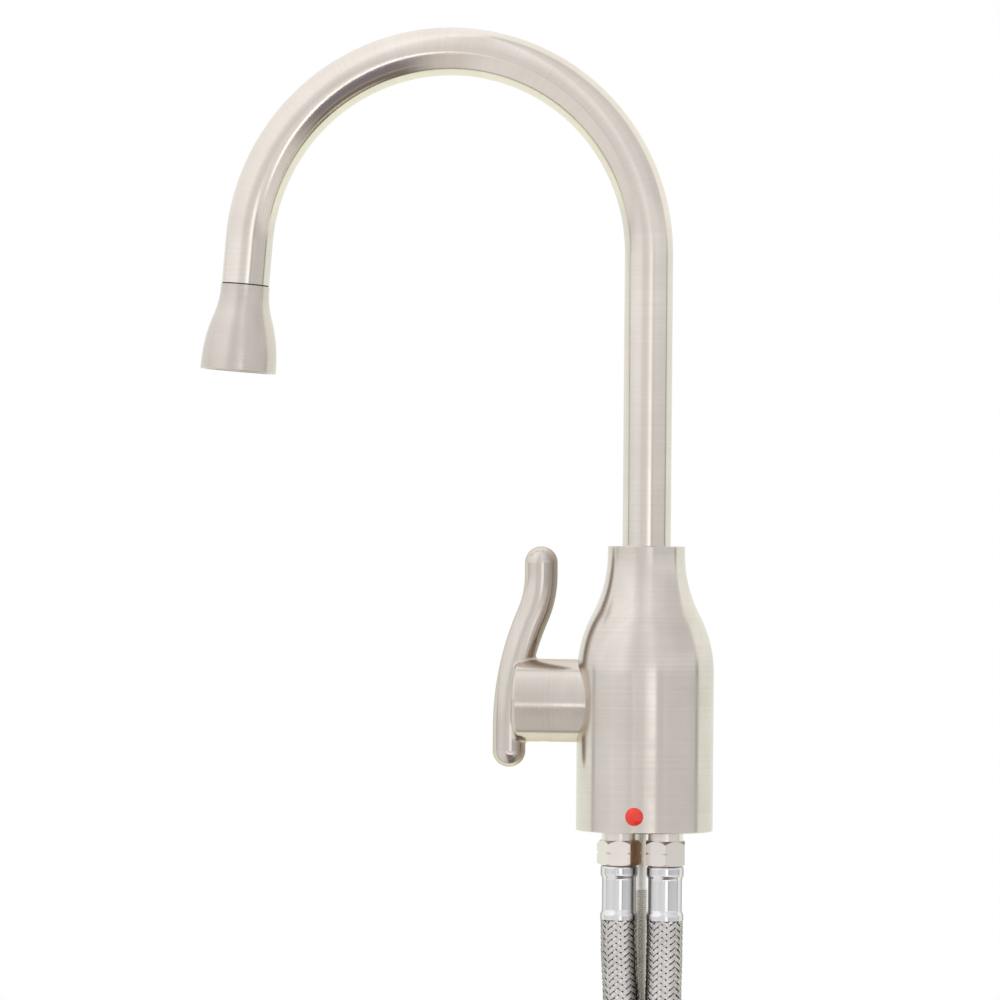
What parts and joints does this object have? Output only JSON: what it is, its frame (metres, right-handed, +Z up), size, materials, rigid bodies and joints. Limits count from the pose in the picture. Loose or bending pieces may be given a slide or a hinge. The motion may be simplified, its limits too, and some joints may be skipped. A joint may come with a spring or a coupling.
{
  "type": "instant hot water tap",
  "caption": "Worktop tap for near-boiling water: a swivelling gooseneck with a flared nozzle on a turned body, a side valve with a curved lever, braided hoses and a clamp below.",
  "frame": {"origin": "on the body's axis at the upper surface of the worktop", "axes": "+Z up along the body and the riser, the spout and the lever's valve point to -X, the red dot faces -Y"},
  "size_m": [0.2032, 0.052, 0.641],
  "materials": {
    "brushed_nickel": "satin",
    "chrome_crimp": "polished",
    "nickel_nut": "satin",
    "brass": "satin",
    "steel": "satin",
    "rubber": "matte",
    "braided_hose": "satin",
    "white_plastic": "matte",
    "red_plastic": "gloss",
    "ceramic": "polished"
  },
  "bodies": {
    "tap": {"tap_body": "brushed_nickel", "left_hose_ferrule": "chrome_crimp", "right_hose_ferrule": "chrome_crimp", "left_hose_end_ferrule": "chrome_crimp", "right_hose_end_ferrule": "chrome_crimp", "left_inlet_nipple": "nickel_nut", "right_inlet_nipple": "nickel_nut", "left_hose_nut": "nickel_nut", "right_hose_nut": "nickel_nut", "cartridge_sleeve": "brass", "left_hose_stem": "brass", "right_hose_stem": "brass", "left_hose_end_stem": "brass", "right_hose_end_stem": "brass", "clamp_nut": "brass", "spout_retaining_screw": "steel", "mounting_stud": "steel", "clamp_plate": "steel", "base_seal": "rubber", "cartridge_o_ring": "rubber", "cartridge_seal": "rubber", "left_hose_washer": "rubber", "right_hose_washer": "rubber", "left_hose_end_washer": "rubber", "right_hose_end_washer": "rubber", "clamp_washer": "rubber", "left_hose": "braided_hose", "right_hose": "braided_hose", "spout_bush": "white_plastic", "handle_glide_ring": "white_plastic", "hot_indicator": "red_plastic", "fixed_ceramic_disc": "ceramic"},
    "spout": {"spout_tube": "brushed_nickel", "spout_nipple": "brass", "spout_o_ring_lower": "rubber", "spout_o_ring_upper": "rubber", "outlet_nozzle": "brushed_nickel", "nozzle_o_ring": "rubber", "aerator_seal": "rubber", "aerator_insert": "white_plastic"},
    "lever": {"handle": "brushed_nickel", "handle_grub_screw": "steel", "valve_spindle": "brass", "spindle_o_ring_inner": "rubber", "spindle_o_ring_outer": "rubber", "spindle_clip": "steel", "moving_ceramic_disc": "ceramic"},
    "left_supply_nut": {"left_hose_end_nut": "nickel_nut"},
    "right_supply_nut": {"right_hose_end_nut": "nickel_nut"}
  },
  "joints": [
    {"name": "spout_swivel", "type": "hinge", "parent": "tap", "child": "spout", "pos_m": [0, 0, 0.1], "axis": [0, 0, 1], "continuous": true},
    {"name": "lever_turn", "type": "hinge", "parent": "tap", "child": "lever", "pos_m": [-0.033, 0, 0.048], "axis": [1, 0, 0], "range_deg": [0, 90]},
    {"name": "left_supply_nut_spin", "type": "hinge", "parent": "tap", "child": "left_supply_nut", "pos_m": [-0.023, -0.0085, -0.33], "axis": [0, 0, 1], "continuous": true},
    {"name": "right_supply_nut_spin", "type": "hinge", "parent": "tap", "child": "right_supply_nut", "pos_m": [0.0215, -0.0008, -0.33], "axis": [0, 0, 1], "continuous": true}
  ]
}
